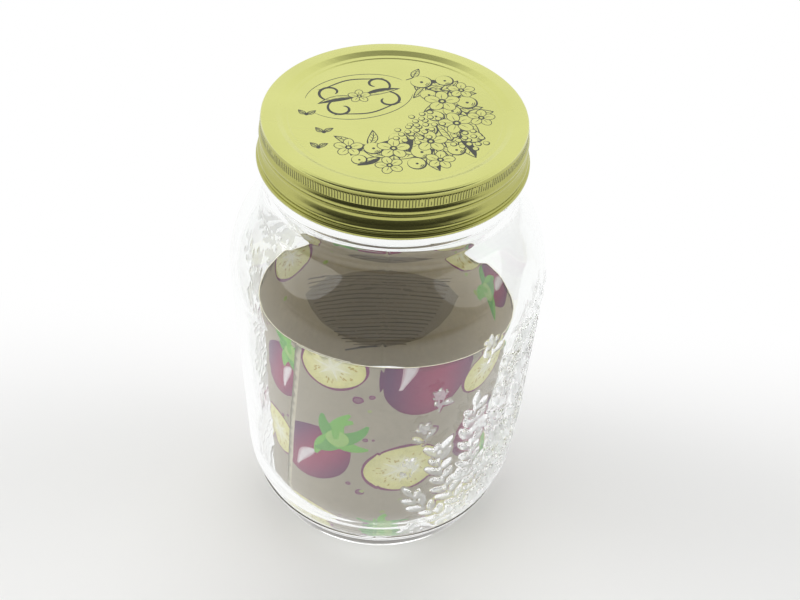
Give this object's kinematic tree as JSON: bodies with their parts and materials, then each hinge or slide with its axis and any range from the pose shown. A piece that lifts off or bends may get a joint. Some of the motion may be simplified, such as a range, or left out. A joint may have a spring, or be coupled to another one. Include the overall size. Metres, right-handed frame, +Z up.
{
  "type": "preserving jar",
  "caption": "Clear glass preserving jar with leafy relief, a gold pressed screw lid, and a printed sheet with aubergines rolled up inside.",
  "frame": {"origin": "centre of the jar's foot, on the plane that it stands on", "axes": "+Z up along the jar's axis, -Y towards the front, +X to the right seen from the front"},
  "size_m": [0.1074, 0.1074, 0.168],
  "materials": {
    "glass": "clear, fire-polished",
    "lid_gold": "satin gold lacquer on tinplate",
    "print": "matt printed kraft paper"
  },
  "bodies": {
    "root": {"jar": "glass", "lid": "lid_gold", "sleeve": "print"}
  },
  "joints": []
}
